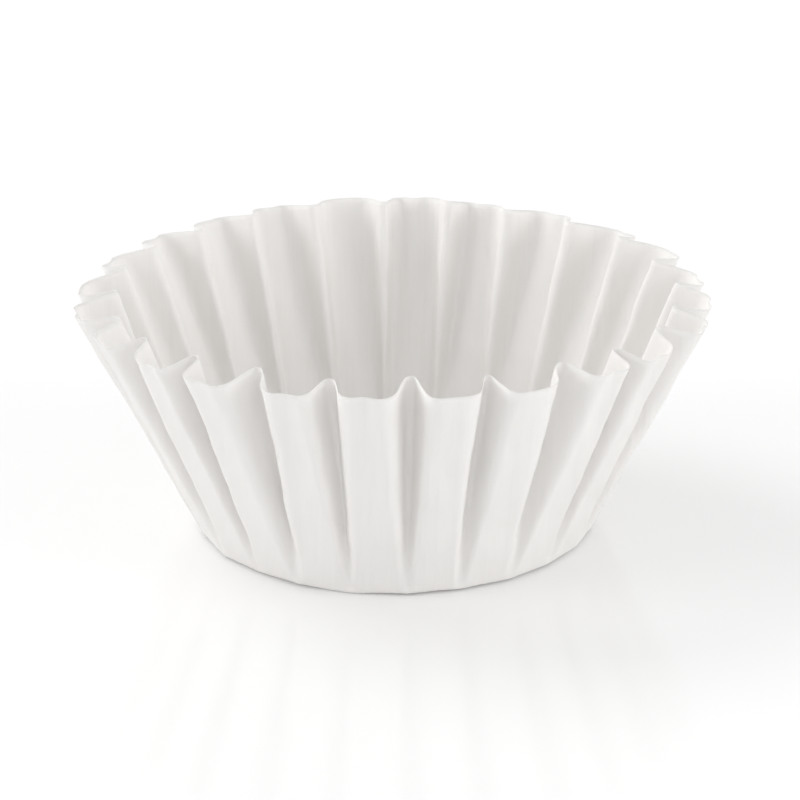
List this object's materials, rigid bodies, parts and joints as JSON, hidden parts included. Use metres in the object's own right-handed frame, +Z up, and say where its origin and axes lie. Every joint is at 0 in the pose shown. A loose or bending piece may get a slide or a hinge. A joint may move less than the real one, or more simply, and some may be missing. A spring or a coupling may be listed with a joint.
{
  "type": "paper coffee filter",
  "caption": "Basket coffee filter: one sheet of thin white paper pressed into an open cup, with a flat base and a flared wall of deep soft flutes up to a wavy cut rim.",
  "frame": {"origin": "Centre of the flat base, on its underside, where the filter rests.", "axes": "+Z runs up the axis of the filter, out of its open mouth. +X passes through a groove of the wall, and so does +Y."},
  "size_m": [0.1308, 0.1308, 0.0503],
  "materials": {
    "paper": "matte"
  },
  "bodies": {
    "root": {"paper_filter": "paper"}
  },
  "joints": []
}
